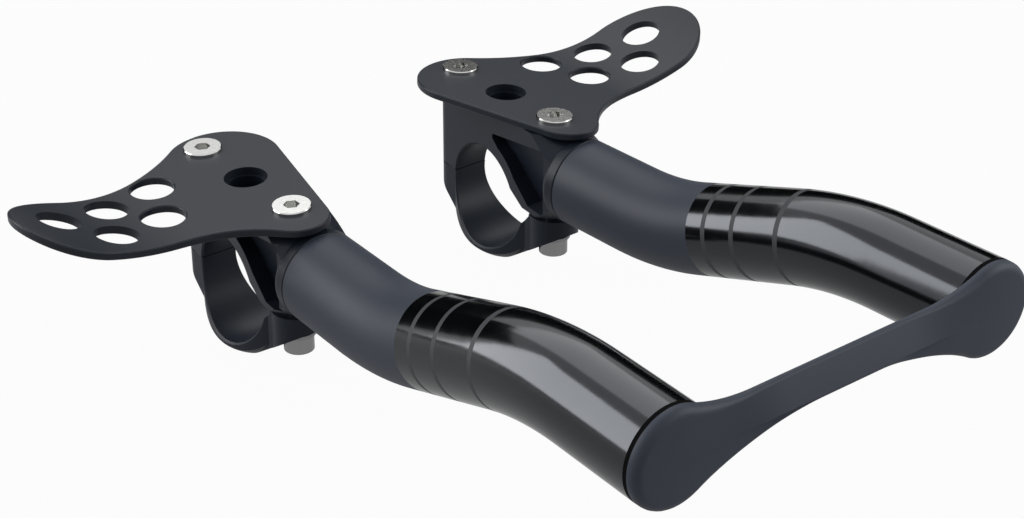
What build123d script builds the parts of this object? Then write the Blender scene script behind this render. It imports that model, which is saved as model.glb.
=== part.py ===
from build123d import *
from math import acos, asin, atan2, cos, degrees, hypot, isclose, radians, sin, sqrt
import os

os.makedirs("parts", exist_ok=True)

# Handlebar and arms, millimetres and degrees
BAR_D = 31.8
ARM_Y = 45.3
SPLAY = 2.4
CANT = 2.0
HOLE_GAP = 0.4
THREAD_GAP = 0.1

# Armrest plate
DECK_Z = 30.2
SHEET = 2.2
HOLE_D = 12.0
SCREW_REAR_X = -21.1
SCREW_FRONT_X = 23.7
LIGHT_HOLES = ((1.1, 0.0), (-10.2, 22.8), (5.6, 28.7), (-5.5, 39.3), (10.0, 44.8), (-1.5, 55.1))
FLAT_W = 25.3
CURL_R = 84.4
CURL_ANGLE = 40.0
HEEL_X = -13.5
HEEL_Y = -2.0
HEEL_R = 15.9
TOE_X = 28.0
TOE_Y = 1.4
TOE_R = 9.0
TIP_X = 3.2
TIP_Y = 51.6
TIP_R = 17.7
NOTCH_R = 31.0
WAIST_R = 58.6
PLATE_REACH = 55.0
EDGE_ROUND = 0.5

# Armrest screw
SCREW_D = 6.0
HEAD_D = 10.8
HEAD_H = 0.9
HEAD_EDGE = 0.25
SOCKET_AF = 4.0
SOCKET_DEPTH = 2.0
SCREW_L = 12.0
TAP_SPARE = 1.5

# Clamp bracket
PILLAR_R = 5.3
COLLAR_W = 10.2
REAR_PART_Z = 2.1
FRONT_PART_Z = 4.8
RELIEF_X = 20.5
RELIEF_TOP = 34.0
RELIEF_LOW = -15.0
WEB_T = 8.2
RIB_R = 20.2
POCKET_TIP_X = 3.0
POCKET_TIP_Z = 22.2
POCKET_TOP_Z = 27.2
POCKET_FLOOR_X = 23.5
POCKET_FLOOR_Z = 6.6
POCKET_WALL = 1.2
POCKET_ROUND = 1.0
RECESS_D = 10.0
RECESS_DEPTH = 6.0
COLLAR_L = 5.0
COLLAR_ROUND = 2.2
TAPER_L = 16.0
TAPER_H = 7.0
TAPER_SINK = 1.6
SPIGOT_L = 18.0
SPIGOT_GAP = 0.1
SEAM_EDGE = 0.3
BORE_EDGE = 0.5

# Hook of the lower clamp in the pillar
HOOK_X = -22.0
HOOK_T = 2.6
HOOK_W = 5.4
HOOK_H = 5.0
LIP_L = 1.4
LIP_T = 2.0
HOOK_GAP = 0.3

# Lower clamp
PART_GAP = 0.3
EAR_GAP = 2.8
EAR_SEAT_Z = -4.9
EAR_TIP_Z = -3.0
EAR_R = 7.4
SEAT_D = 11.2
BOSS_H = 4.6
BOWL_R = 21.1
BOWL_W = 9.8
BOWL_REACH = 17.0
BOWL_EDGE = 1.4
BOWL_SPAN = 116.0

# Clamp bolt and washer
BOLT_D = 5.0
BOLT_X = 24.0
BOLT_HEAD_D = 8.5
BOLT_HEAD_H = 5.0
BOLT_SOCKET_AF = 4.0
BOLT_SOCKET_DEPTH = 2.5
BOLT_L = 18.0
WASHER_D = 10.0
WASHER_T = 1.0

# Extension tube
TUBE_D = 25.4
TUBE_WALL = 2.2
TUBE_X = 37.4
TUBE_Z = 16.9
TUBE_START_L = 22.0
RISE_R = 81.7
RISE_ANGLE = 18.4
RISE_L = 35.3
LEVEL_R = 102.3
TUBE_END_L = 27.1

# Bridge and end rings
END_RING_T = 1.2
PAD_T = 3.0
PAD_ROUND = 2.2
STRAP_TOP = 8.2
STRAP_BOTTOM = -1.1
STRAP_TOP_R = 50.0
STRAP_BOTTOM_R = 71.0
PLUG_L = 15.0

BAR_R = BAR_D / 2
TUBE_R = TUBE_D / 2
TUBE_BORE_R = TUBE_R - TUBE_WALL
SPIGOT_R = TUBE_BORE_R - SPIGOT_GAP
SCREW_R = SCREW_D / 2
BOLT_R = BOLT_D / 2
BLANK = 2 * DECK_Z

# Planes of the left arm: side view, plan, armrest deck and tube
arm_side = Plane(origin=(0, ARM_Y, 0), x_dir=(1, 0, 0), z_dir=(0, -1, 0))
arm_plan = Plane(origin=(0, ARM_Y, 0))
deck_up = Vector(0, sin(radians(CANT)), cos(radians(CANT)))
deck = Plane(origin=(0, ARM_Y, DECK_Z), x_dir=(1, 0, 0), z_dir=deck_up)
deck_section = Plane(origin=deck.origin, x_dir=deck.y_dir, z_dir=(1, 0, 0))
ahead = Vector(cos(radians(SPLAY)), sin(radians(SPLAY)), 0)
aside = Vector(-sin(radians(SPLAY)), cos(radians(SPLAY)), 0)
tube_start = Plane(origin=(TUBE_X, ARM_Y, TUBE_Z), x_dir=aside, z_dir=ahead)
tube_side = Plane(origin=tube_start.origin, x_dir=ahead, z_dir=-aside)
tube_axis = Axis(tube_start.origin, ahead)
tube_run = TUBE_START_L + RISE_L * cos(radians(RISE_ANGLE)) + TUBE_END_L
tube_run += (RISE_R + LEVEL_R) * sin(radians(RISE_ANGLE))
tube_rise = RISE_L * sin(radians(RISE_ANGLE)) + (RISE_R + LEVEL_R) * (1 - cos(radians(RISE_ANGLE)))
tube_tip = tube_side.from_local_coords((tube_run, tube_rise))
tube_end = Plane.YZ.offset(tube_tip.X)
tip = (tube_tip.Y, tube_tip.Z)


def polar(centre, radius, angle):
    """Point at an angle on a circle."""
    return (centre[0] + radius * cos(radians(angle)), centre[1] + radius * sin(radians(angle)))


def bearing(start, end):
    """Angle of the line from one point to another."""
    return degrees(atan2(end[1] - start[1], end[0] - start[0]))


def outside_both(a, a_r, b, b_r, radius):
    """Centre of a circle that touches two circles from outside, to the left of the line from a to b."""
    span = hypot(b[0] - a[0], b[1] - a[1])
    to_a = radius + a_r
    to_b = radius + b_r
    turn = degrees(acos((span**2 + to_a**2 - to_b**2) / (2 * span * to_a)))
    return polar(a, to_a, bearing(a, b) + turn)


def arc_between(centre, radius, start_angle, end_angle):
    """Counter-clockwise edge of a circle from one angle to another."""
    CenterArc(centre, radius, start_angle, (end_angle - start_angle) % 360)


def bore_rims(walls):
    """Edges where the handlebar's bore meets the sides of a clamp half."""
    bore = walls.filter_by(GeomType.CYLINDER).filter_by(lambda wall: isclose(wall.radius, BAR_R))
    return [edge for wall in bore for edge in wall.edges().filter_by(GeomType.LINE, reverse=True)]


# Armrest plate: curled strip, cut to its outline and drilled square to its surface
heel = (HEEL_X, HEEL_Y)
toe = (TOE_X, TOE_Y)
wing_tip = (TIP_X, TIP_Y)
edge_x = TIP_X + TIP_R
notch_rise = sqrt((NOTCH_R + TOE_R) ** 2 - (edge_x + NOTCH_R - TOE_X) ** 2)
notch = (edge_x + NOTCH_R, TOE_Y + notch_rise)
waist = outside_both(heel, HEEL_R, wing_tip, TIP_R, WAIST_R)
heel_toe = hypot(TOE_X - HEEL_X, TOE_Y - HEEL_Y)
inner_angle = bearing(heel, toe) - degrees(acos((HEEL_R - TOE_R) / heel_toe))
curl_centre = (FLAT_W, SHEET + CURL_R)
curl_end = CURL_ANGLE - 90
with BuildPart() as armrest_plate_left:
    with BuildSketch(deck_section):
        with BuildLine():
            Line((-FLAT_W, SHEET), (-FLAT_W, 0))
            Line((-FLAT_W, 0), (FLAT_W, 0))
            CenterArc(curl_centre, CURL_R + SHEET, -90, CURL_ANGLE)
            Line(polar(curl_centre, CURL_R + SHEET, curl_end), polar(curl_centre, CURL_R, curl_end))
            CenterArc(curl_centre, CURL_R, -90, CURL_ANGLE)
            Line((FLAT_W, SHEET), (-FLAT_W, SHEET))
        make_face()
    extrude(amount=PLATE_REACH, both=True)
    with BuildSketch(deck):
        with BuildLine():
            arc_between(heel, HEEL_R, bearing(heel, waist), inner_angle)
            Line(polar(heel, HEEL_R, inner_angle), polar(toe, TOE_R, inner_angle))
            arc_between(toe, TOE_R, inner_angle, bearing(toe, notch))
            arc_between(notch, NOTCH_R, 180, bearing(notch, toe))
            Line((edge_x, notch[1]), (edge_x, TIP_Y))
            arc_between(wing_tip, TIP_R, 0, bearing(wing_tip, waist))
            arc_between(waist, WAIST_R, bearing(waist, heel), bearing(waist, wing_tip))
        make_face()
    extrude(amount=PLATE_REACH, both=True, mode=Mode.INTERSECT)
    for hole_x, hole_w in LIGHT_HOLES:
        lean = degrees(asin(max(hole_w - FLAT_W, 0) / CURL_R))
        foot = polar(curl_centre, CURL_R + SHEET, lean - 90) if lean else (hole_w, 0)
        seat = Plane(
            origin=deck.from_local_coords((hole_x, foot[0], foot[1])),
            x_dir=(1, 0, 0),
            z_dir=deck_section.from_local_coords(polar((0, 0), 1, lean + 90)) - deck.origin,
        )
        with BuildSketch(seat):
            Circle(HOLE_D / 2)
        extrude(amount=2 * SHEET, both=True, mode=Mode.SUBTRACT)
    with BuildSketch(deck):
        with Locations((SCREW_REAR_X, 0), (SCREW_FRONT_X, 0)):
            Circle(SCREW_R + HOLE_GAP / 2)
    extrude(amount=SHEET, mode=Mode.SUBTRACT)
    broad = faces().sort_by(SortBy.AREA)[-4:]
    rims = [edge for face in broad for edge in face.outer_wire().edges().filter_by(Axis.X, reverse=True)]
    fillet(rims, EDGE_ROUND)


def armrest_screw(at_x):
    """Screw with a flat disc head on the plate and its thread in the bracket."""
    seat = Plane(origin=deck.from_local_coords((at_x, 0, SHEET)), x_dir=(1, 0, 0), z_dir=deck.z_dir)
    with BuildPart() as screw:
        with BuildSketch(seat):
            Circle(HEAD_D / 2)
        extrude(amount=HEAD_H)
        chamfer(edges().sort_by(Axis.Z)[-1], HEAD_EDGE)
        with BuildSketch(seat):
            Circle(SCREW_R)
        extrude(amount=-SHEET - SCREW_L)
        with BuildSketch(seat.offset(HEAD_H)):
            RegularPolygon(SOCKET_AF / 2, 6, major_radius=False)
        extrude(amount=-SOCKET_DEPTH, mode=Mode.SUBTRACT)
    return screw


armrest_screw_rear_left = armrest_screw(SCREW_REAR_X)
armrest_screw_front_left = armrest_screw(SCREW_FRONT_X)

# Clamp bracket: side view cut to a wedge in plan, pocketed on both sides, with a collar and a spigot
collar_rear_x = TUBE_X - COLLAR_L
beam_end_x = collar_rear_x + COLLAR_ROUND
pillar_rear_x = SCREW_REAR_X - PILLAR_R
bolt_tip_z = EAR_SEAT_Z - WASHER_T + BOLT_L
with BuildPart() as clamp_bracket_left:
    with BuildSketch(arm_side):
        with BuildLine():
            Polyline(
                (pillar_rear_x, REAR_PART_Z),
                (0, REAR_PART_Z),
                (0, FRONT_PART_Z),
                (beam_end_x, FRONT_PART_Z),
                (beam_end_x, BLANK),
                (pillar_rear_x, BLANK),
                close=True,
            )
        make_face()
        Circle(BAR_R, mode=Mode.SUBTRACT)
        with BuildLine():
            Polyline(
                (0, 0),
                (RELIEF_X, 0),
                (RELIEF_X, FRONT_PART_Z),
                polar((0, 0), BAR_R, RELIEF_TOP),
                close=True,
            )
        make_face(mode=Mode.SUBTRACT)
    extrude(amount=BLANK / 2, both=True)
    with BuildSketch(arm_plan):
        with Locations((SCREW_REAR_X, 0)):
            Circle(PILLAR_R)
        with Locations((collar_rear_x, 0)):
            Rectangle(COLLAR_L, 2 * COLLAR_W)
        make_hull()
    extrude(amount=BLANK, both=True, mode=Mode.INTERSECT)
    split(bisect_by=deck, keep=Keep.BOTTOM)
    with BuildSketch(tube_side):
        with BuildLine():
            Polyline(
                (0, TUBE_R - TAPER_SINK),
                (-COLLAR_L - TAPER_L, TUBE_R + TAPER_H),
                (-COLLAR_L - TAPER_L, BLANK),
                (0, BLANK),
                close=True,
            )
        make_face()
    revolve(axis=tube_axis, mode=Mode.SUBTRACT)
    for side in (1, -1):
        with BuildSketch(arm_side.offset(side * WEB_T / 2)):
            with BuildLine():
                Polyline(
                    (POCKET_TIP_X, POCKET_TIP_Z),
                    (POCKET_FLOOR_X, POCKET_FLOOR_Z),
                    (collar_rear_x - POCKET_WALL, POCKET_FLOOR_Z),
                    (collar_rear_x - POCKET_WALL, POCKET_TOP_Z),
                    close=True,
                )
            make_face()
            fillet(vertices(), POCKET_ROUND)
            Circle(RIB_R, mode=Mode.SUBTRACT)
        extrude(amount=side * BLANK, mode=Mode.SUBTRACT)
    with BuildSketch(tube_side):
        with BuildLine():
            Polyline((-COLLAR_L, TUBE_R - COLLAR_ROUND), (-COLLAR_L, 0), (0, 0), (0, TUBE_R - SEAM_EDGE))
            Line((0, TUBE_R - SEAM_EDGE), (-SEAM_EDGE, TUBE_R))
            Line((-SEAM_EDGE, TUBE_R), (COLLAR_ROUND - COLLAR_L, TUBE_R))
            CenterArc((COLLAR_ROUND - COLLAR_L, TUBE_R - COLLAR_ROUND), COLLAR_ROUND, 90, 90)
        make_face()
    revolve(axis=tube_axis)
    with BuildSketch(tube_start):
        Circle(SPIGOT_R)
    extrude(amount=SPIGOT_L)
    with BuildSketch(deck):
        with Locations((SCREW_REAR_X, 0), (SCREW_FRONT_X, 0)):
            Circle(SCREW_R + THREAD_GAP)
    extrude(amount=-SCREW_L - TAP_SPARE, mode=Mode.SUBTRACT)
    with BuildSketch(deck):
        with Locations(LIGHT_HOLES[0]):
            Circle(RECESS_D / 2)
    extrude(amount=-RECESS_DEPTH, mode=Mode.SUBTRACT)
    with BuildSketch(arm_plan.offset(FRONT_PART_Z)):
        with Locations((BOLT_X, 0)):
            Circle(BOLT_R + THREAD_GAP)
    extrude(amount=bolt_tip_z + TAP_SPARE - FRONT_PART_Z, mode=Mode.SUBTRACT)
    with BuildSketch(arm_side):
        with Locations((HOOK_X - HOOK_GAP, REAR_PART_Z)):
            Rectangle(HOOK_T + LIP_L + 2 * HOOK_GAP, HOOK_H + HOOK_GAP, align=(Align.MIN, Align.MIN))
        with Locations((HOOK_X - LIP_L - HOOK_GAP, REAR_PART_Z + HOOK_H + HOOK_GAP)):
            Rectangle(2 * LIP_L, LIP_T + HOOK_GAP, align=(Align.MIN, Align.MAX))
    extrude(amount=HOOK_W / 2 + HOOK_GAP, both=True, mode=Mode.SUBTRACT)
    chamfer(bore_rims(faces()), BORE_EDGE)

# Lower clamp: bowl under the handlebar, drawn out straight to a rear boss and a front ear, with a hook
bowl_sag = BOWL_R - BAR_R - BOWL_EDGE
bowl_round_r = (BOWL_W**2 + bowl_sag**2) / (2 * bowl_sag)
crown_r = BOWL_R - bowl_round_r + sqrt(bowl_round_r**2 - PILLAR_R**2)
bowl_axis = Axis((0, ARM_Y, 0), (0, 1, 0))
bowl_ahead = polar((0, 0), 1, BOWL_SPAN / 2 - 90)
bowl_start = Plane(origin=(0, ARM_Y, 0), x_dir=(0, 1, 0), z_dir=(bowl_ahead[1], 0, -bowl_ahead[0]))
rear_top_z = REAR_PART_Z - PART_GAP
ear_top_z = FRONT_PART_Z - EAR_GAP
hook_top_z = REAR_PART_Z + HOOK_H
with BuildPart() as lower_clamp_left:
    with BuildSketch(arm_side):
        with BuildSketch(mode=Mode.PRIVATE) as boss:
            Circle(crown_r)
            with Locations((pillar_rear_x, rear_top_z)):
                Rectangle(PILLAR_R, BOSS_H, align=(Align.MIN, Align.MAX))
            make_hull()
            with Locations((0, rear_top_z)):
                Rectangle(BLANK, BLANK, align=(Align.CENTER, Align.MIN), mode=Mode.SUBTRACT)
            Rectangle(BLANK, 2 * BLANK, align=(Align.MIN, Align.CENTER), mode=Mode.SUBTRACT)
        with BuildSketch(mode=Mode.PRIVATE) as ear:
            Circle(crown_r)
            with Locations((BOLT_X + EAR_R, ear_top_z)):
                Rectangle(EAR_R, ear_top_z - EAR_TIP_Z, align=(Align.MAX, Align.MAX))
            make_hull()
            with Locations((0, ear_top_z)):
                Rectangle(BLANK * 2, BLANK, align=(Align.CENTER, Align.MIN), mode=Mode.SUBTRACT)
            Rectangle(BLANK, 2 * BLANK, align=(Align.MAX, Align.CENTER), mode=Mode.SUBTRACT)
        add(boss.sketch)
        add(ear.sketch)
        Circle(BAR_R, mode=Mode.SUBTRACT)
        with BuildLine():
            Polyline((0, ear_top_z), polar((0, 0), BAR_R, RELIEF_LOW), (RELIEF_X, ear_top_z), close=True)
        make_face(mode=Mode.SUBTRACT)
    extrude(amount=BLANK / 2, both=True)
    with BuildSketch(arm_plan):
        with Locations((SCREW_REAR_X, 0)):
            Circle(PILLAR_R)
            Rectangle(BOLT_X - SCREW_REAR_X, 2 * PILLAR_R, align=(Align.MIN, Align.CENTER))
        with Locations((BOLT_X, 0)):
            Circle(EAR_R)
        with BuildLine():
            ThreePointArc((-BOWL_REACH, PILLAR_R), (0, BOWL_W), (BOWL_REACH, PILLAR_R))
            Line((BOWL_REACH, PILLAR_R), (BOWL_REACH, -PILLAR_R))
            ThreePointArc((BOWL_REACH, -PILLAR_R), (0, -BOWL_W), (-BOWL_REACH, -PILLAR_R))
            Line((-BOWL_REACH, -PILLAR_R), (-BOWL_REACH, PILLAR_R))
        make_face()
    extrude(amount=BLANK, both=True, mode=Mode.INTERSECT)
    with BuildSketch(bowl_start):
        with Locations((0, BAR_R + BOWL_EDGE)):
            Rectangle(2 * BAR_R, BAR_R, align=(Align.CENTER, Align.MIN))
            Rectangle(2 * PILLAR_R, BAR_R, align=(Align.CENTER, Align.MIN), mode=Mode.SUBTRACT)
        with Locations((0, BOWL_R - bowl_round_r)):
            Circle(bowl_round_r, mode=Mode.SUBTRACT)
    revolve(axis=bowl_axis, revolution_arc=BOWL_SPAN, mode=Mode.SUBTRACT)
    with BuildSketch(arm_side):
        with Locations((HOOK_X, hook_top_z)):
            Rectangle(HOOK_T, HOOK_H + PART_GAP, align=(Align.MIN, Align.MAX))
        with Locations((HOOK_X - LIP_L, hook_top_z)):
            Rectangle(2 * LIP_L, LIP_T, align=(Align.MIN, Align.MAX))
    extrude(amount=HOOK_W / 2, both=True)
    with BuildSketch(arm_plan.offset(EAR_SEAT_Z)):
        with Locations((BOLT_X, 0)):
            Circle(SEAT_D / 2)
    extrude(amount=-BLANK, mode=Mode.SUBTRACT)
    with BuildSketch(arm_plan.offset(EAR_SEAT_Z)):
        with Locations((BOLT_X, 0)):
            Circle(BOLT_R + HOLE_GAP / 2)
    extrude(amount=ear_top_z - EAR_SEAT_Z, mode=Mode.SUBTRACT)
    chamfer(bore_rims(faces()), BORE_EDGE)

# Washer and socket cap bolt under the ear
with BuildPart() as clamp_washer_left:
    with BuildSketch(arm_plan.offset(EAR_SEAT_Z)):
        with Locations((BOLT_X, 0)):
            Circle(WASHER_D / 2)
            Circle(BOLT_R + HOLE_GAP / 2, mode=Mode.SUBTRACT)
    extrude(amount=-WASHER_T)
bolt_seat = arm_plan.offset(EAR_SEAT_Z - WASHER_T)
with BuildPart() as clamp_bolt_left:
    with BuildSketch(bolt_seat):
        with Locations((BOLT_X, 0)):
            Circle(BOLT_HEAD_D / 2)
    extrude(amount=-BOLT_HEAD_H)
    with BuildSketch(bolt_seat):
        with Locations((BOLT_X, 0)):
            Circle(BOLT_R)
    extrude(amount=BOLT_L)
    with BuildSketch(bolt_seat.offset(-BOLT_HEAD_H)):
        with Locations((BOLT_X, 0)):
            RegularPolygon(BOLT_SOCKET_AF / 2, 6, major_radius=False)
    extrude(amount=BOLT_SOCKET_DEPTH, mode=Mode.SUBTRACT)

# Extension tube: one wall swept along a rise between two level runs, cut square across both arms
with BuildPart() as extension_tube_left:
    with BuildLine(tube_side):
        start_run = Line((0, 0), (TUBE_START_L, 0))
        rise = JernArc(start_run @ 1, start_run % 1, RISE_R, RISE_ANGLE)
        slope = Line(rise @ 1, (rise @ 1) + (rise % 1) * RISE_L)
        settle = JernArc(slope @ 1, slope % 1, LEVEL_R, -RISE_ANGLE)
        Line(settle @ 1, (settle @ 1) + (settle % 1) * (TUBE_END_L + TUBE_WALL))
    with BuildSketch(tube_start):
        Circle(TUBE_R)
        Circle(TUBE_BORE_R, mode=Mode.SUBTRACT)
    sweep()
    split(bisect_by=tube_end, keep=Keep.BOTTOM)
    chamfer(faces().sort_by(tube_axis)[0].outer_wire().edges(), SEAM_EDGE)

# End ring between the tube and the bridge's pad
with BuildPart() as end_ring_left:
    with BuildSketch(tube_end):
        with Locations(tip):
            Circle(TUBE_R)
            Circle(TUBE_BORE_R, mode=Mode.SUBTRACT)
    extrude(amount=END_RING_T)

# Bridge: strap drawn out to a round pad over each tube, with a plug behind each pad
pad_face = tube_end.offset(END_RING_T)
top_y = sqrt((STRAP_TOP_R + TUBE_R) ** 2 - (STRAP_TOP + STRAP_TOP_R) ** 2)
top_blend = (tip[0] - top_y, tip[1] + STRAP_TOP + STRAP_TOP_R)
low_drop = STRAP_BOTTOM_R - STRAP_BOTTOM
low_y = sqrt((STRAP_BOTTOM_R + TUBE_R) ** 2 - low_drop**2)
low_blend = (tip[0] - low_y, tip[1] - low_drop)
strap_top_z = tip[1] + STRAP_TOP
strap_low_z = tip[1] + STRAP_BOTTOM
with BuildPart() as bridge:
    with BuildSketch(pad_face):
        with BuildLine():
            arc_between(tip, TUBE_R, bearing(tip, low_blend), bearing(tip, top_blend))
            arc_between(top_blend, STRAP_TOP_R, -90, bearing(top_blend, tip))
            Line((top_blend[0], strap_top_z), (0, strap_top_z))
            Line((0, strap_top_z), (0, strap_low_z))
            Line((0, strap_low_z), (low_blend[0], strap_low_z))
            arc_between(low_blend, STRAP_BOTTOM_R, bearing(low_blend, tip), 90)
        make_face()
    extrude(amount=PAD_T)
    with BuildSketch(Plane(origin=tube_tip + ahead * (END_RING_T + PAD_T / 2), x_dir=aside, z_dir=ahead)):
        Circle(SPIGOT_R)
    extrude(amount=-PLUG_L)
    mirror(about=Plane.XZ)
    fillet(faces().sort_by(Axis.X)[-1].edges(), PAD_ROUND)

left_parts = {
    "armrest_plate": armrest_plate_left,
    "armrest_screw_rear": armrest_screw_rear_left,
    "armrest_screw_front": armrest_screw_front_left,
    "clamp_bracket": clamp_bracket_left,
    "lower_clamp": lower_clamp_left,
    "clamp_washer": clamp_washer_left,
    "clamp_bolt": clamp_bolt_left,
    "extension_tube": extension_tube_left,
    "end_ring": end_ring_left,
}
for name, left in left_parts.items():
    left.part.label = name + "_left"
    export_step(left.part, "parts/" + name + "_left.step")
    with BuildPart() as right:
        mirror(left.part, about=Plane.XZ)
    right.part.label = name + "_right"
    export_step(right.part, "parts/" + name + "_right.step")
bridge.part.label = "bridge"
export_step(bridge.part, "parts/bridge.step")
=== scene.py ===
import math

import bpy
from bpy.props import FloatProperty, FloatVectorProperty, IntProperty, PointerProperty, StringProperty
from mathutils import Matrix, Vector


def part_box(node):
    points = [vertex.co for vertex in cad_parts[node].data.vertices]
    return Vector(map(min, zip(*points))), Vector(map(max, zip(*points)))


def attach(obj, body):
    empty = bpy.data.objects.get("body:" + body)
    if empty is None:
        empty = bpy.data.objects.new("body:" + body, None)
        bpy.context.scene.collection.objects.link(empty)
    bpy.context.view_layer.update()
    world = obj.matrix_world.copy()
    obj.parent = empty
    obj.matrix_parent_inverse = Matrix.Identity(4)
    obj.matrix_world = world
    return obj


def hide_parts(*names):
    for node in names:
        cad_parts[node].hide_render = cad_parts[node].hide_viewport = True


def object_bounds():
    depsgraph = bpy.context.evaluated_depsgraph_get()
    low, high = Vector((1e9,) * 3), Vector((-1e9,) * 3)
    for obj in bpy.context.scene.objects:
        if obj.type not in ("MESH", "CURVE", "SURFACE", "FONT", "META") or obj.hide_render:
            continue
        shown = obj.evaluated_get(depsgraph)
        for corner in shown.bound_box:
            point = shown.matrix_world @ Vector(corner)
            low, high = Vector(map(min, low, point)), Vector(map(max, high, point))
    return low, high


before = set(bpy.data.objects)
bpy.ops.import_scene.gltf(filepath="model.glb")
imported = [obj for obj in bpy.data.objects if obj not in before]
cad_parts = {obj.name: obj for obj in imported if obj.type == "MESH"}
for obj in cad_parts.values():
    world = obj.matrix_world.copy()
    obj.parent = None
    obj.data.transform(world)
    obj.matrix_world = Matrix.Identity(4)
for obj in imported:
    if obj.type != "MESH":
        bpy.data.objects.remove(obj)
CAD_LOW, CAD_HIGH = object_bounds()

bl_info = {
    "name": "Aero handlebar extension",
    "version": (1, 0, 0),
    "blender": (4, 5, 0),
    "location": "3D View > Sidebar > Aero bar",
    "description": "Tubes, bridge and finishes of a clip-on aero handlebar extension, with its studio",
    "category": "Object",
}

SIDES = ("left", "right")
BODY = "root"
NEAR = 1e-6  # points nearer than this are one
SMOOTH_BELOW = math.radians(30)  # sharper edges than this stay sharp
BEND_STEP = 1.2  # degrees of a bend that one ring of faces takes
MATTE, LACQUER, STRIPE = range(3)  # slots of a tube's finishes
LOWER, FOOT, RIDGE, UPPER = range(4)  # rows of the bridge's corners, from below
RIDGE_CLEAR = 1.3  # height of the ridge over the strap's lower edge, in roundings of that edge
FOOT_CLEAR = 1.15  # least height of the ridge's foot over it, in the same
FLOOR_GAP = 0.0005  # clear space under the clamps
WHITE = "#FFFFFF"
PAPER = "#B4B4B4"
BLACK_FELT = "#060606"
LACQUER_MIRROR = "#F0F5FF"  # faint blue of the lacquer's reflections


# Sizes and colours that a user would change

class TubeSizes(bpy.types.PropertyGroup):
    """Sizes of the bent tubes and of the lacquered bands on them."""

    diameter: FloatProperty(
        name="Diameter", description="Outside of the tube", default=0.0254, unit="LENGTH"
    )
    wall: FloatProperty(
        name="Wall", description="Thickness of the tube's wall", default=0.0022, unit="LENGTH"
    )
    start: FloatVectorProperty(
        name="Start",
        description="Middle of the left tube's rear end, on the bracket's collar",
        default=(0.0374, 0.0453, 0.0169),
        subtype="TRANSLATION",
    )
    splay: FloatProperty(
        name="Splay",
        description="Turn of each arm outwards from straight ahead",
        default=math.radians(2.4),
        subtype="ANGLE",
    )
    seam_edge: FloatProperty(
        name="Seam edge", description="Bevel of the tube's rear rim", default=0.0003, unit="LENGTH"
    )
    start_run: FloatProperty(
        name="Start run",
        description="Straight length behind the rise",
        default=0.022,
        unit="LENGTH",
    )
    rise_radius: FloatProperty(
        name="Rise radius",
        description="Bend from level to the slope",
        default=0.0817,
        unit="LENGTH",
    )
    rise_angle: FloatProperty(
        name="Rise angle",
        description="Slope between the two bends",
        default=math.radians(18.4),
        subtype="ANGLE",
    )
    slope_run: FloatProperty(
        name="Slope run", description="Straight length on the slope", default=0.0353, unit="LENGTH"
    )
    level_radius: FloatProperty(
        name="Level radius",
        description="Bend from the slope back to level",
        default=0.1023,
        unit="LENGTH",
    )
    end_run: FloatProperty(
        name="End run",
        description="Straight length behind the bridge",
        default=0.0271,
        unit="LENGTH",
    )
    lacquer_start: FloatProperty(
        name="Lacquer start",
        description="Length along the tube where the gloss begins",
        default=0.0545,
        unit="LENGTH",
    )
    stripes: FloatVectorProperty(
        name="Stripes",
        description="Lengths along the tube to the middle of each matte stripe",
        default=(0.061, 0.0717, 0.0875),
        size=3,
        unit="LENGTH",
    )
    stripe_width: FloatProperty(
        name="Stripe width", description="Width of each matte stripe", default=0.0016, unit="LENGTH"
    )
    facets: IntProperty(name="Facets", description="Faces round the tube", default=96, min=24)


class BridgeSizes(bpy.types.PropertyGroup):
    """Sizes of the moulded bridge between the tubes."""

    thickness: FloatProperty(
        name="Thickness", description="Depth of the pads", default=0.003, unit="LENGTH"
    )
    strap_top: FloatProperty(
        name="Strap top",
        description="Strap's upper edge above the pads' middle",
        default=0.0082,
        unit="LENGTH",
    )
    strap_bottom: FloatProperty(
        name="Strap bottom",
        description="Strap's lower edge below the pads' middle",
        default=0.0011,
        unit="LENGTH",
    )
    top_blend: FloatProperty(
        name="Top blend",
        description="Curve from the strap's upper edge into a pad",
        default=0.05,
        unit="LENGTH",
    )
    bottom_blend: FloatProperty(
        name="Bottom blend",
        description="Curve from the strap's lower edge into a pad",
        default=0.071,
        unit="LENGTH",
    )
    lean: FloatProperty(
        name="Lean",
        description="Set-back of the strap's upper edge, where it twists to face up",
        default=0.0018,
        unit="LENGTH",
    )
    twist_run: FloatProperty(
        name="Twist run",
        description="Length over which a pad twists into the strap",
        default=0.034,
        unit="LENGTH",
    )
    ridge: FloatProperty(
        name="Ridge",
        description="Set-forward and lift of the strap's lower edge",
        default=0.0017,
        unit="LENGTH",
    )
    ridge_step: FloatProperty(
        name="Ridge step",
        description="Height of the step under the ridge",
        default=0.0004,
        unit="LENGTH",
    )
    crease: FloatProperty(
        name="Crease",
        description="Depth of the crease under the ridge's ends",
        default=0.0007,
        unit="LENGTH",
    )
    ridge_fade: FloatVectorProperty(
        name="Ridge fade",
        description="Distances from the middle at which the ridge starts to sink into a pad and is gone",
        default=(0.018, 0.04),
        size=2,
        unit="LENGTH",
    )
    foot_fade: FloatVectorProperty(
        name="Foot fade",
        description="Distances from the middle between which the lifted lower outline comes down again",
        default=(0.009, 0.024),
        size=2,
        unit="LENGTH",
    )
    edge: FloatProperty(
        name="Edge",
        description="Rounding of the strap's front edges",
        default=0.0006,
        unit="LENGTH",
    )
    pad_round: FloatProperty(
        name="Pad round",
        description="Rounding of the pads' front edges",
        default=0.0024,
        unit="LENGTH",
    )
    round_fade: FloatVectorProperty(
        name="Round fade",
        description="Distances from the middle between which the strap's rounding grows to the pads'",
        default=(0.026, 0.048),
        size=2,
        unit="LENGTH",
    )
    columns: IntProperty(name="Columns", description="Faces along the bridge", default=160, min=40)


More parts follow.
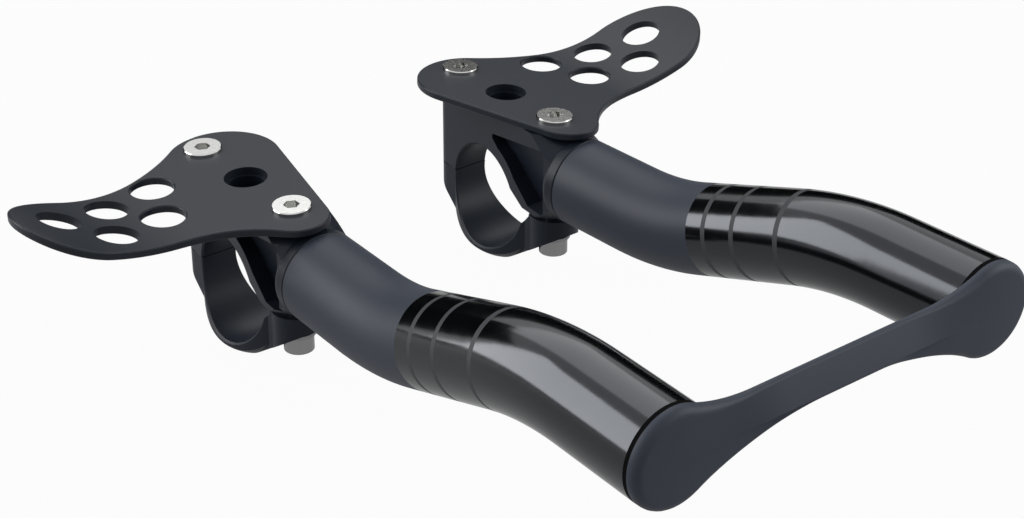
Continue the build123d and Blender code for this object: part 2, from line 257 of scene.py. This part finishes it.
class FinishColours(bpy.types.PropertyGroup):
    """Colours of the finishes, as sRGB hex values."""

    plate: StringProperty(name="Plate", description="Anodised armrest plates", default="#20252D")
    forging: StringProperty(
        name="Forging", description="Anodised brackets and clamps", default="#1A202A"
    )
    tube: StringProperty(name="Tube", description="Matte paint of the tubes", default="#2D333F")
    lacquer: StringProperty(
        name="Lacquer", description="Gloss bands of the tubes", default="#070809"
    )
    stripe: StringProperty(
        name="Stripe", description="Matte stripes between the bands", default="#34363A"
    )
    bridge: StringProperty(name="Bridge", description="Moulded bridge", default="#343A46")
    steel: StringProperty(name="Steel", description="Armrest screws", default="#C4C4C2")
    bolt: StringProperty(name="Bolt", description="Clamp bolts", default="#989898")
    washer: StringProperty(
        name="Washer", description="Washers of the clamp bolts", default="#8C8C8E"
    )
    rubber: StringProperty(name="Rubber", description="Rings at the tubes' ends", default="#030304")


class StudioSetting(bpy.types.PropertyGroup):
    """Camera, lamps and floor."""

    camera_place: FloatVectorProperty(
        name="Camera",
        description="Camera's place",
        default=(0.4627, -0.3231, 0.3004),
        subtype="TRANSLATION",
    )
    camera_azimuth: FloatProperty(
        name="Azimuth",
        description="Camera's turn round the object",
        default=math.radians(51.2),
        subtype="ANGLE",
    )
    camera_elevation: FloatProperty(
        name="Elevation",
        description="Camera's angle above level",
        default=math.radians(28.77),
        subtype="ANGLE",
    )
    camera_roll: FloatProperty(
        name="Roll",
        description="Camera's turn about its own axis",
        default=math.radians(0.28),
        subtype="ANGLE",
    )
    lens: FloatProperty(
        name="Lens", description="Focal length in millimetres", default=76.9, unit="CAMERA"
    )
    key_power: FloatProperty(
        name="Key", description="Power of the softbox at the left", default=10.2, unit="POWER"
    )
    top_power: FloatProperty(
        name="Top", description="Power of the panel overhead", default=4.3, unit="POWER"
    )
    fill_power: FloatProperty(
        name="Fill", description="Power of the lamp in front", default=2.4, unit="POWER"
    )
    ambient: FloatProperty(
        name="Ambient", description="Strength of the room's own light", default=0.3
    )
    floor_shade: FloatProperty(
        name="Floor",
        description="Share of the floor that shows the object's shadow",
        default=0.04,
        subtype="FACTOR",
    )
    floor_mirror: FloatProperty(
        name="Floor mirrored",
        description="Share of the floor's white that reflections show",
        default=0.4,
        subtype="FACTOR",
    )


# Small helpers

def linear(hex_colour):
    """sRGB hex value as linear RGBA."""
    parts = [int(hex_colour[i:i + 2], 16) / 255 for i in (1, 3, 5)]
    return (*(c / 12.92 if c <= 0.04045 else ((c + 0.055) / 1.055) ** 2.4 for c in parts), 1.0)


def per_mm(size):
    """Texture scale that makes a pattern's features that many millimetres wide."""
    return 1000.0 / size


def add_node(tree, kind, settings=None, inputs=None):
    """A node with its settings, and its inputs set to values or linked to sockets."""
    node = tree.nodes.new(kind)
    for name, value in (settings or {}).items():
        setattr(node, name, value)
    for name, value in (inputs or {}).items():
        if isinstance(value, bpy.types.NodeSocket):
            tree.links.new(value, node.inputs[name])
        else:
            node.inputs[name].default_value = value
    return node


def new_material(name):
    """Empty node material, its tree and its output."""
    material = bpy.data.materials.new(name)
    material.use_nodes = True
    material.node_tree.nodes.clear()
    return material, material.node_tree, add_node(material.node_tree, "ShaderNodeOutputMaterial")


def grained(name, colour, roughness, specular, grain_mm, relief_mm, mottle_mm, mottle, sheen_spread):
    """Dark surface with a fine grain, a slow drift of tone and a little unevenness in its sheen."""
    material, tree, output = new_material(name)
    place = add_node(tree, "ShaderNodeTexCoord").outputs["Object"]
    drift = add_node(
        tree, "ShaderNodeTexNoise", {}, {"Vector": place, "Scale": per_mm(mottle_mm), "Detail": 3.0}
    ).outputs["Fac"]
    # The real grain is a tenth of a millimetre or finer, and is drawn coarser so that it shows
    grain = add_node(
        tree, "ShaderNodeTexNoise", {}, {"Vector": place, "Scale": per_mm(grain_mm), "Detail": 2.0}
    ).outputs["Fac"]
    base = linear(colour)
    tone = add_node(tree, "ShaderNodeMix", {"data_type": "RGBA"}, {0: drift})
    tone.inputs[6].default_value = (*(c * (1 - mottle) for c in base[:3]), 1.0)
    tone.inputs[7].default_value = (*(c * (1 + mottle) for c in base[:3]), 1.0)
    sheen = add_node(
        tree,
        "ShaderNodeMapRange",
        {},
        {"Value": drift, "To Min": roughness - sheen_spread, "To Max": roughness + sheen_spread},
    )
    relief = add_node(
        tree, "ShaderNodeBump", {}, {"Height": grain, "Strength": 1.0, "Distance": relief_mm / 1000}
    )
    shader = add_node(
        tree,
        "ShaderNodeBsdfPrincipled",
        {},
        {
            "Base Color": tone.outputs[2],
            "Roughness": sheen.outputs["Result"],
            "Specular IOR Level": specular,
            "Normal": relief.outputs["Normal"],
        },
    )
    tree.links.new(shader.outputs["BSDF"], output.inputs["Surface"])
    return material


def gloss_lacquer(colour, peel_mm, relief_mm, clear, hazy):
    """Gloss black lacquer: dark, cool mirror over a faint orange peel, which softens long reflections."""
    material, tree, output = new_material("gloss_black_lacquer")
    place = add_node(tree, "ShaderNodeTexCoord").outputs["Object"]
    peel = add_node(
        tree, "ShaderNodeTexNoise", {}, {"Vector": place, "Scale": per_mm(peel_mm), "Detail": 1.0}
    ).outputs["Fac"]
    haze = add_node(tree, "ShaderNodeMapRange", {}, {"Value": peel, "To Min": clear, "To Max": hazy})
    relief = add_node(
        tree, "ShaderNodeBump", {}, {"Height": peel, "Strength": 1.0, "Distance": relief_mm / 1000}
    )
    shader = add_node(
        tree,
        "ShaderNodeBsdfPrincipled",
        {},
        {
            "Base Color": linear(colour),
            "IOR": 1.55,
            "Specular Tint": linear(LACQUER_MIRROR),
            "Roughness": haze.outputs["Result"],
            "Normal": relief.outputs["Normal"],
        },
    )
    tree.links.new(shader.outputs["BSDF"], output.inputs["Surface"])
    return material


def bare_metal(name, colour, clear, hazy, mark_mm, relief_mm=0.02):
    """Bare metal: bright mirror, broken by fine handling marks that scatter it."""
    material, tree, output = new_material(name)
    place = add_node(tree, "ShaderNodeTexCoord").outputs["Object"]
    # The real marks are hair-fine, and are drawn about a millimetre wide so that they show
    marks = add_node(
        tree, "ShaderNodeTexNoise", {}, {"Vector": place, "Scale": per_mm(mark_mm), "Detail": 4.0}
    ).outputs["Fac"]
    haze = add_node(tree, "ShaderNodeMapRange", {}, {"Value": marks, "To Min": clear, "To Max": hazy})
    relief = add_node(
        tree, "ShaderNodeBump", {}, {"Height": marks, "Strength": 0.6, "Distance": relief_mm / 1000}
    )
    shader = add_node(
        tree,
        "ShaderNodeBsdfPrincipled",
        {},
        {
            "Base Color": linear(colour),
            "Metallic": 1.0,
            "Roughness": haze.outputs["Result"],
            "Normal": relief.outputs["Normal"],
        },
    )
    tree.links.new(shader.outputs["BSDF"], output.inputs["Surface"])
    return material


def dress(names, material):
    """Gives the solids of that name, left and right, their finish."""
    for name in names:
        for side in SIDES:
            paint(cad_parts[f"{name}_{side}"], material)


def paint(node, material):
    """Puts a finish in an object's first slot."""
    if node.material_slots:
        node.material_slots[0].material = material
    else:
        node.data.materials.append(material)


def start_piece():
    """Nothing selected, so that the next operators act on the new piece alone."""
    if bpy.context.mode != "OBJECT":
        bpy.ops.object.mode_set(mode="OBJECT")
    bpy.ops.object.select_all(action="DESELECT")


# Pieces

class AEROBAR_OT_armrest_plates(bpy.types.Operator):
    """Finish the two armrest plates"""

    bl_idname = "aerobar.armrest_plates"
    bl_label = "Armrest plates"

    def execute(self, context):
        # Bead-blasted, black anodised sheet: even charcoal with a silky sheen and no visible grain lines
        colours = context.scene.aerobar_colours
        sheet = grained(
            "blasted_anodised_sheet",
            colours.plate,
            roughness=0.4,
            specular=0.23,
            grain_mm=0.5,
            relief_mm=0.006,
            mottle_mm=45.0,
            mottle=0.08,
            sheen_spread=0.03,
        )
        dress(["armrest_plate"], sheet)
        return {"FINISHED"}


class AEROBAR_OT_clamp_forgings(bpy.types.Operator):
    """Finish the brackets and the lower clamps"""

    bl_idname = "aerobar.clamp_forgings"
    bl_label = "Brackets and lower clamps"

    def execute(self, context):
        # Forged, shot-blasted and anodised aluminium: satin black with a fine pebbled skin
        colours = context.scene.aerobar_colours
        forging = grained(
            "satin_anodised_forging",
            colours.forging,
            roughness=0.4,
            specular=0.2,
            grain_mm=0.7,
            relief_mm=0.01,
            mottle_mm=20.0,
            mottle=0.12,
            sheen_spread=0.05,
        )
        dress(["clamp_bracket", "lower_clamp"], forging)
        return {"FINISHED"}


class AEROBAR_OT_fasteners(bpy.types.Operator):
    """Finish the screws, bolts and washers"""

    bl_idname = "aerobar.fasteners"
    bl_label = "Screws, bolts and washers"

    def execute(self, context):
        colours = context.scene.aerobar_colours
        # Tumbled stainless steel: a bright, slightly broken mirror
        stainless = bare_metal("tumbled_stainless_steel", colours.steel, clear=0.14, hazy=0.21, mark_mm=1.2)
        dress(["armrest_screw_front", "armrest_screw_rear"], stainless)
        # Zinc-plated bolts and washers: greyer, with a soft blurred mirror
        bolt = bare_metal("zinc_plated_bolt", colours.bolt, clear=0.19, hazy=0.26, mark_mm=1.2)
        dress(["clamp_bolt"], bolt)
        washer = bare_metal("zinc_plated_washer", colours.washer, clear=0.35, hazy=0.42, mark_mm=1.0)
        dress(["clamp_washer"], washer)
        return {"FINISHED"}


class AEROBAR_OT_extension_tubes(bpy.types.Operator):
    """Model the two bent tubes with their lacquered bands"""

    bl_idname = "aerobar.extension_tubes"
    bl_label = "Extension tubes"

    def execute(self, context):
        sizes = context.scene.aerobar_tube
        colours = context.scene.aerobar_colours
        # Matte powder paint on aluminium: deep charcoal, soft highlight, dust-fine grain
        matte = grained(
            "matte_tube_paint",
            colours.tube,
            roughness=0.5,
            specular=0.3,
            grain_mm=0.6,
            relief_mm=0.008,
            mottle_mm=30.0,
            mottle=0.06,
            sheen_spread=0.04,
        )
        # Stripes masked from the gloss: the same paint, a little greyer
        stripe = grained(
            "matte_stripe_paint",
            colours.stripe,
            roughness=0.55,
            specular=0.3,
            grain_mm=0.6,
            relief_mm=0.008,
            mottle_mm=30.0,
            mottle=0.06,
            sheen_spread=0.04,
        )
        # Clear-coated black bands: a dark mirror with soft edges to its reflections
        gloss = gloss_lacquer(colours.lacquer, peel_mm=4.0, relief_mm=0.01, clear=0.1, hazy=0.16)
        left = self.bent_tube(sizes, (matte, gloss, stripe))
        left.name = left.data.name = "lacquered_tube_left"
        right = self.mirrored(left)
        right.name = right.data.name = "lacquered_tube_right"
        for tube, side in zip((left, right), SIDES):
            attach(tube, BODY)
            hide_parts(f"extension_tube_{side}")
        return {"FINISHED"}

    def bent_tube(self, sizes, finishes):
        """Rim extruded and spun along the tube's line, band by band, then cut and given its wall."""
        ahead = Vector((math.cos(sizes.splay), math.sin(sizes.splay), 0))
        across = Vector((-math.sin(sizes.splay), math.cos(sizes.splay), 0))
        tube = self.rear_rim(sizes, finishes, ahead, across)
        self.follow_line(tube, sizes, ahead, across)
        self.finish_wall(tube, sizes)
        bpy.ops.object.shade_smooth_by_angle(angle=SMOOTH_BELOW)
        return tube

    def rear_rim(self, sizes, finishes, ahead, across):
        """Rim of the rear end, widened over its bevel to the tube's outside."""
        radius = sizes.diameter / 2
        rim_turn = Matrix((across, Vector((0, 0, 1)), ahead)).transposed().to_euler()
        start_piece()
        bpy.ops.mesh.primitive_circle_add(
            vertices=sizes.facets, radius=radius - sizes.seam_edge, location=sizes.start, rotation=rim_turn
        )
        tube = bpy.context.object
        bpy.ops.object.transform_apply(location=True, rotation=True, scale=True)
        for finish in finishes:
            tube.data.materials.append(finish)
        self.extend(tube, ahead * sizes.seam_edge, MATTE)
        widen = radius / (radius - sizes.seam_edge)
        centre = Vector(sizes.start) + ahead * sizes.seam_edge
        bpy.ops.object.mode_set(mode="EDIT")
        bpy.ops.transform.resize(value=(widen, widen, widen), center_override=centre)
        bpy.ops.object.mode_set(mode="OBJECT")
        return tube

    def follow_line(self, tube, sizes, ahead, across):
        """Carries the open rim along the tube's line, from each bend or band's edge to the next."""
        slope_at = sizes.start_run + sizes.rise_radius * sizes.rise_angle
        level_at = slope_at + sizes.slope_run
        end_at = level_at + sizes.level_radius * sizes.rise_angle
        stop_at = end_at + sizes.end_run + sizes.wall
        marks = [(sizes.lacquer_start, LACQUER)]
        for middle in sizes.stripes:
            marks.append((middle - sizes.stripe_width / 2, STRIPE))
            marks.append((middle + sizes.stripe_width / 2, LACQUER))
        bends = {sizes.start_run, slope_at, level_at, end_at}
        up = Vector((0, 0, 1))
        at = sizes.seam_edge
        centre = Vector(sizes.start) + ahead * at
        tilt = 0.0
        for station in sorted({*bends, *(mark[0] for mark in marks), stop_at}):
            length = station - at
            finish = max([mark for mark in marks if mark[0] <= at + NEAR], default=(0, MATTE))[1]
            along = ahead * math.cos(tilt) + up * math.sin(tilt)
            outward = up * math.cos(tilt) - ahead * math.sin(tilt)
            if sizes.start_run <= at + NEAR < slope_at:
                pivot = centre + outward * sizes.rise_radius
                self.turn(tube, length / sizes.rise_radius, pivot, across, finish)
                tilt += length / sizes.rise_radius
                centre = pivot - (up * math.cos(tilt) - ahead * math.sin(tilt)) * sizes.rise_radius
            elif level_at <= at + NEAR < end_at:
                pivot = centre - outward * sizes.level_radius
                self.turn(tube, length / sizes.level_radius, pivot, -across, finish)
                tilt -= length / sizes.level_radius
                centre = pivot + (up * math.cos(tilt) - ahead * math.sin(tilt)) * sizes.level_radius
            else:
                self.extend(tube, along * length, finish)
                centre = centre + along * length
            at = station

    def finish_wall(self, tube, sizes):
        """Cuts the front end flat for the ring and gives the skin its wall."""
        bpy.ops.object.mode_set(mode="EDIT")
        bpy.ops.mesh.select_all(action="SELECT")
        bpy.ops.mesh.remove_doubles(threshold=NEAR)
        end_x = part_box("extension_tube_left")[1].x
        bpy.ops.mesh.bisect(plane_co=(end_x, 0, 0), plane_no=(1, 0, 0), clear_outer=True)
        bpy.ops.mesh.select_all(action="SELECT")
        bpy.ops.mesh.normals_make_consistent(inside=False)
        bpy.ops.object.mode_set(mode="OBJECT")
        shell = tube.modifiers.new("Wall", "SOLIDIFY")
        shell.thickness = sizes.wall
        shell.offset = -1
        shell.use_even_offset = True
        bpy.ops.object.modifier_apply(modifier=shell.name)

    def extend(self, tube, step, finish):
        """Extrudes the open rim straight on and gives the new wall its finish."""
        before = len(tube.data.polygons)
        bpy.ops.object.mode_set(mode="EDIT")
        bpy.ops.mesh.extrude_region_move(TRANSFORM_OT_translate={"value": step})
        bpy.ops.object.mode_set(mode="OBJECT")
        self.coat(tube, before, finish)

    def turn(self, tube, angle, pivot, axis, finish):
        """Spins the open rim round a bend and gives the new wall its finish."""
        before = len(tube.data.polygons)
        steps = max(1, round(math.degrees(angle) / BEND_STEP))
        bpy.ops.object.mode_set(mode="EDIT")
        bpy.ops.mesh.spin(steps=steps, angle=angle, center=pivot, axis=axis)
        bpy.ops.object.mode_set(mode="OBJECT")
        self.coat(tube, before, finish)

    def coat(self, tube, before, finish):
        """Finish of the faces that the last step made."""
        for face in tube.data.polygons[before:]:
            face.material_index = finish

    def mirrored(self, left):
        """Copy of the left tube on the right."""
        start_piece()
        left.select_set(True)
        bpy.context.view_layer.objects.active = left
        bpy.ops.object.duplicate()
        right = bpy.context.object
        bpy.ops.object.mode_set(mode="EDIT")
        bpy.ops.mesh.select_all(action="SELECT")
        bpy.ops.transform.resize(value=(1, -1, 1), center_override=(0, 0, 0))
        bpy.ops.mesh.flip_normals()
        bpy.ops.object.mode_set(mode="OBJECT")
        return right


class AEROBAR_OT_end_rings(bpy.types.Operator):
    """Finish the rings between the tubes and the bridge"""

    bl_idname = "aerobar.end_rings"
    bl_label = "End rings"

    def execute(self, context):
        # Moulded black rubber: almost no sheen
        colours = context.scene.aerobar_colours
        rubber = grained(
            "black_rubber",
            colours.rubber,
            roughness=0.7,
            specular=0.04,
            grain_mm=0.5,
            relief_mm=0.004,
            mottle_mm=12.0,
            mottle=0.1,
            sheen_spread=0.05,
        )
        dress(["end_ring"], rubber)
        return {"FINISHED"}


class AEROBAR_OT_bridge(bpy.types.Operator):
    """Model the bridge between the tubes' front ends"""

    bl_idname = "aerobar.bridge"
    bl_label = "Bridge"

    def execute(self, context):
        # Moulded nylon from a spark-eroded tool: dull charcoal with a fine even grain
        colours = context.scene.aerobar_colours
        nylon = grained(
            "grained_nylon",
            colours.bridge,
            roughness=0.52,
            specular=0.3,
            grain_mm=0.8,
            relief_mm=0.012,
            mottle_mm=35.0,
            mottle=0.06,
            sheen_spread=0.04,
        )
        bridge = self.moulding(context.scene.aerobar_bridge, context.scene.aerobar_tube.diameter / 2)
        bridge.name = bridge.data.name = "moulded_bridge"
        paint(bridge, nylon)
        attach(bridge, BODY)
        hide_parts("bridge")
        return {"FINISHED"}

    def moulding(self, sizes, radius):
        """Blank drawn to the outline, with its front twisted and then rounded."""
        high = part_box("bridge")[1]
        bridge = self.blank(sizes, radius, high)
        front = {corner.index for corner in bridge.data.vertices if corner.co.x > high.x - NEAR}
        rims = [face for face in bridge.data.polygons if abs(face.normal.x) < 0.5]
        outline = {key for face in rims for key in face.edge_keys if front.issuperset(key)}
        self.twist(bridge, sizes, radius, high, front)
        self.round_off(bridge, sizes, outline)
        bpy.ops.object.shade_smooth_by_angle(angle=SMOOTH_BELOW, keep_sharp_edges=True)
        return bridge

    def blank(self, sizes, radius, high):
        """Strip of columns drawn to the outline and extruded forward to the pads' thickness."""
        pad_y, pad_z = high.y - radius, high.z - radius
        back_x = high.x - sizes.thickness
        start_piece()
        bpy.ops.mesh.primitive_grid_add(x_subdivisions=UPPER, y_subdivisions=sizes.columns, size=1)
        bridge = bpy.context.object
        for corner in bridge.data.vertices:
            row = round(UPPER * (corner.co.x + 0.5))
            y = high.y * math.sin(math.pi * corner.co.y)
            corner.co = (back_x, y, pad_z + self.row_heights(sizes, y, pad_y, radius)[row])
        bpy.ops.object.mode_set(mode="EDIT")
        bpy.ops.mesh.select_all(action="SELECT")
        bpy.ops.mesh.extrude_region_move(TRANSFORM_OT_translate={"value": (sizes.thickness, 0, 0)})
        bpy.ops.mesh.select_all(action="SELECT")
        bpy.ops.mesh.remove_doubles(threshold=NEAR)
        bpy.ops.mesh.normals_make_consistent(inside=False)
        bpy.ops.object.mode_set(mode="OBJECT")
        # The outer half of each pad is one flat face
        self.select(bridge, "FACE", lambda face: face.normal.x > 0.5 and abs(face.center.y) > pad_y)
        bpy.ops.mesh.dissolve_faces()
        bpy.ops.object.mode_set(mode="OBJECT")
        return bridge

    def twist(self, bridge, sizes, radius, high, front):
        """Brings the front's lower edge and ridge forward and sets its upper edge back."""
        pad_y, pad_z = high.y - radius, high.z - radius
        creases = {FOOT: set(), RIDGE: set()}
        for index in front:
            corner = bridge.data.vertices[index]
            place = abs(corner.co.y)
            heights = self.row_heights(sizes, place, pad_y, radius)
            row = min(range(4), key=lambda i: abs(pad_z + heights[i] - corner.co.z))
            # Shares of the full set-forward that the ridge and the lower edge have here
            proud = self.fade(place, sizes.ridge_fade)
            low = self.fade(place, sizes.foot_fade)
            if row == LOWER:
                corner.co.x += sizes.ridge * low
            elif row == FOOT:
                corner.co.x += sizes.ridge * low - sizes.crease * (proud - low)
            elif row == RIDGE:
                corner.co.x += sizes.ridge * proud
            else:
                corner.co.x -= sizes.lean * self.fade(place, (pad_y - sizes.twist_run, pad_y))
            if row in creases and place < sizes.ridge_fade[1]:
                creases[row].add(index)
        # Both lines of the crease stay sharp until it is gone
        sharp = creases.values()
        self.select(bridge, "EDGE", lambda line: any(row.issuperset(line.vertices) for row in sharp))
        bpy.ops.mesh.mark_sharp()
        bpy.ops.object.mode_set(mode="OBJECT")

    def round_off(self, bridge, sizes, outline):
        """Rounds the front's outline: crisp along the strap and fuller round the pads."""
        weights = bridge.data.attributes.new("bevel_weight_edge", "FLOAT", "EDGE").data
        for line in bridge.data.edges:
            if line.key in outline:
                place = abs(sum(bridge.data.vertices[index].co.y for index in line.vertices)) / 2
                strap = self.fade(place, sizes.round_fade)
                weights[line.index].value = 1 + strap * (sizes.edge / sizes.pad_round - 1)
        rounding = bridge.modifiers.new("Rounding", "BEVEL")
        rounding.width = sizes.pad_round
        rounding.segments = 6
        rounding.limit_method = "WEIGHT"
        rounding.use_clamp_overlap = False
        bpy.ops.object.modifier_apply(modifier=rounding.name)

    def row_heights(self, sizes, y, pad_y, radius):
        """Heights over the pads' middle: lower outline, ridge's foot, ridge and upper outline."""
        place = abs(y)
        top = self.edge_height(y, pad_y, radius, sizes.strap_top, sizes.top_blend)
        bottom = -self.edge_height(y, pad_y, radius, sizes.strap_bottom, sizes.bottom_blend)
        bottom += sizes.ridge * self.fade(place, sizes.foot_fade)
        lift = sizes.ridge * self.fade(place, sizes.ridge_fade)
        ridge = RIDGE_CLEAR * sizes.edge - sizes.strap_bottom + lift
        ridge = max(bottom, min(ridge, (bottom + top) / 2))
        foot = ridge - min(sizes.ridge_step, max(0.0, ridge - bottom - FOOT_CLEAR * sizes.edge))
        return bottom, foot, ridge, top

    def fade(self, place, span):
        """1 before the span and 0 after it, with a smooth passage between."""
        share = min(1.0, max(0.0, (span[1] - place) / (span[1] - span[0])))
        return share * share * (3 - 2 * share)

    def select(self, bridge, kind, test):
        """Selects the faces or edges that pass the test, and stays in edit mode."""
        bpy.ops.object.mode_set(mode="EDIT")
        bpy.ops.mesh.select_all(action="DESELECT")
        bpy.ops.mesh.select_mode(type=kind)
        bpy.ops.object.mode_set(mode="OBJECT")
        for part in bridge.data.polygons if kind == "FACE" else bridge.data.edges:
            part.select = test(part)
        bpy.ops.object.mode_set(mode="EDIT")

    def edge_height(self, y, pad_y, radius, level, blend):
        """Distance of the outline from the pads' middle: level strap, blend curve, then the round pad."""
        place = abs(y)
        reach = math.sqrt((blend + radius) ** 2 - (blend + level) ** 2)
        if place < pad_y - reach:
            return level
        if place < pad_y - reach * radius / (blend + radius):
            return level + blend - math.sqrt(blend**2 - (place - pad_y + reach) ** 2)
        return math.sqrt(max(0.0, radius**2 - (place - pad_y) ** 2))


# Stage

class AEROBAR_OT_studio(bpy.types.Operator):
    """Set up the floor, the lamps and the camera"""

    bl_idname = "aerobar.studio"
    bl_label = "Studio"

    def execute(self, context):
        setting = context.scene.aerobar_studio
        context.scene.view_settings.view_transform = "Standard"
        self.floor(setting)
        self.room(context.scene, setting)
        # Main band along the gloss, and the light on the arms' right sides
        self.lamp("softbox", place=(-0.78, -0.8, 0.5), size=(0.78, 0.9), power=setting.key_power)
        # Upper band along the gloss, and the light on the tops
        self.lamp("top_panel", place=(-0.72, 0.33, 1.06), size=(1.0, 1.0), power=setting.top_power)
        # Light on the bridge and on the clamps' fronts
        self.lamp("front_fill", place=(0.5, 0.6, 0.4), size=(0.5, 0.5), power=setting.fill_power)
        # Dark edges of those bands
        self.flag("far_flag", place=(-0.55, 0.5, 0.155), faces=(0, 0, 0.155), size=(1.6, 0.41))
        self.flag("rear_flag", place=(-0.62, -0.1, 0.22), faces=(0, -0.1, 0.22), size=(0.4, 0.46))
        self.camera(context.scene, setting)
        return {"FINISHED"}

    def seen(self, tree, mirrored):
        """1 for the rays of the camera and of clear parts, and the given share for those of reflections."""
        rays = add_node(tree, "ShaderNodeLightPath").outputs
        direct = add_node(
            tree,
            "ShaderNodeMath",
            {"operation": "MAXIMUM"},
            {0: rays["Is Camera Ray"], 1: rays["Is Transmission Ray"]},
        )
        total = add_node(
            tree,
            "ShaderNodeMath",
            {"operation": "MULTIPLY_ADD"},
            {0: rays["Is Glossy Ray"], 1: mirrored, 2: direct.outputs[0]},
        )
        return total.outputs[0]

    def floor(self, setting):
        """Pale floor under the clamps, white to the eye, with a light shadow."""
        start_piece()
        bpy.ops.mesh.primitive_plane_add(size=8, location=(0, 0, CAD_LOW.z - FLOOR_GAP))
        floor = bpy.context.object
        floor.name = "floor"
        material, tree, output = new_material("white_paper_floor")
        paper = add_node(tree, "ShaderNodeBsdfDiffuse", {}, {"Color": linear(PAPER)})
        white = add_node(tree, "ShaderNodeEmission", {}, {"Color": linear(WHITE), "Strength": 1.0})
        share = add_node(
            tree,
            "ShaderNodeMath",
            {"operation": "MULTIPLY"},
            {0: self.seen(tree, setting.floor_mirror), 1: 1 - setting.floor_shade},
        )
        both = add_node(
            tree,
            "ShaderNodeMixShader",
            {},
            {0: share.outputs[0], 1: paper.outputs["BSDF"], 2: white.outputs["Emission"]},
        )
        tree.links.new(both.outputs[0], output.inputs["Surface"])
        paint(floor, material)

    def room(self, scene, setting):
        """White room behind the floor, dimmer as a source of light."""
        world = bpy.data.worlds.new("studio_room")
        world.use_nodes = True
        tree = world.node_tree
        tree.nodes.clear()
        level = add_node(
            tree,
            "ShaderNodeMapRange",
            {},
            {"Value": self.seen(tree, 1.0), "To Min": setting.ambient, "To Max": 1.0},
        )
        glow = add_node(
            tree,
            "ShaderNodeBackground",
            {},
            {"Color": linear(WHITE), "Strength": level.outputs["Result"]},
        )
        output = add_node(tree, "ShaderNodeOutputWorld", {}, {"Surface": glow.outputs["Background"]})
        tree.nodes.active = output
        scene.world = world

    def lamp(self, name, place, size, power):
        """Rectangular soft lamp that faces the object."""
        start_piece()
        turn = (Vector(place) - (CAD_LOW + CAD_HIGH) / 2).to_track_quat("Z", "Y").to_euler()
        bpy.ops.object.light_add(type="AREA", location=place, rotation=turn)
        lamp = bpy.context.object
        lamp.name = lamp.data.name = name
        lamp.data.shape = "RECTANGLE"
        lamp.data.size, lamp.data.size_y = size
        lamp.data.energy = power
        lamp.visible_camera = False

    def flag(self, name, place, faces, size):
        """Black felt card, seen in reflections alone, which gives the gloss its dark edges."""
        start_piece()
        turn = (Vector(faces) - Vector(place)).to_track_quat("Z", "Y").to_euler()
        bpy.ops.mesh.primitive_plane_add(size=1, location=place, rotation=turn)
        card = bpy.context.object
        card.name = name
        card.scale = (*size, 1)
        bpy.ops.object.transform_apply(location=True, rotation=True, scale=True)
        material, tree, output = new_material("black_card")
        felt = add_node(tree, "ShaderNodeBsdfDiffuse", {}, {"Color": linear(BLACK_FELT)})
        tree.links.new(felt.outputs["BSDF"], output.inputs["Surface"])
        paint(card, material)
        card.visible_camera = False
        card.visible_diffuse = False
        card.visible_shadow = False

    def camera(self, scene, setting):
        """Camera at the angle of the product view."""
        azimuth, elevation = setting.camera_azimuth, setting.camera_elevation
        back = Vector((
            math.sin(azimuth) * math.cos(elevation),
            -math.cos(azimuth) * math.cos(elevation),
            math.sin(elevation),
        ))
        right = Vector((math.cos(azimuth), math.sin(azimuth), 0))
        upward = back.cross(right)
        stand = Matrix((right, upward, back)).transposed() @ Matrix.Rotation(setting.camera_roll, 3, "Z")
        start_piece()
        bpy.ops.object.camera_add(location=setting.camera_place, rotation=stand.to_euler())
        camera = bpy.context.object
        camera.name = "product_camera"
        camera.data.lens = setting.lens
        camera.data.sensor_width = 36
        camera.data.clip_start = 0.01
        scene.camera = camera


class AEROBAR_PT_panel(bpy.types.Panel):
    """Lists the pieces and their settings"""

    bl_idname = "AEROBAR_PT_panel"
    bl_label = "Aero handlebar extension"
    bl_space_type = "VIEW_3D"
    bl_region_type = "UI"
    bl_category = "Aero bar"

    def draw(self, context):
        for operator in OPERATORS:
            self.layout.operator(operator.bl_idname)
        for name in ("aerobar_tube", "aerobar_bridge", "aerobar_colours", "aerobar_studio"):
            box = self.layout.box()
            group = getattr(context.scene, name)
            for key in group.__annotations__:
                box.prop(group, key)


GROUPS = (TubeSizes, BridgeSizes, FinishColours, StudioSetting)
OPERATORS = (
    AEROBAR_OT_armrest_plates,
    AEROBAR_OT_clamp_forgings,
    AEROBAR_OT_fasteners,
    AEROBAR_OT_extension_tubes,
    AEROBAR_OT_end_rings,
    AEROBAR_OT_bridge,
    AEROBAR_OT_studio,
)


def register():
    for cls in (*GROUPS, *OPERATORS, AEROBAR_PT_panel):
        bpy.utils.register_class(cls)
    bpy.types.Scene.aerobar_tube = PointerProperty(type=TubeSizes)
    bpy.types.Scene.aerobar_bridge = PointerProperty(type=BridgeSizes)
    bpy.types.Scene.aerobar_colours = PointerProperty(type=FinishColours)
    bpy.types.Scene.aerobar_studio = PointerProperty(type=StudioSetting)


def unregister():
    del bpy.types.Scene.aerobar_studio
    del bpy.types.Scene.aerobar_colours
    del bpy.types.Scene.aerobar_bridge
    del bpy.types.Scene.aerobar_tube
    for cls in reversed((*GROUPS, *OPERATORS, AEROBAR_PT_panel)):
        bpy.utils.unregister_class(cls)


def main():
    register()
    bpy.ops.aerobar.armrest_plates()
    bpy.ops.aerobar.clamp_forgings()
    bpy.ops.aerobar.fasteners()
    bpy.ops.aerobar.extension_tubes()
    bpy.ops.aerobar.end_rings()
    bpy.ops.aerobar.bridge()
    bpy.ops.aerobar.studio()


if __name__ == "__main__":
    main()
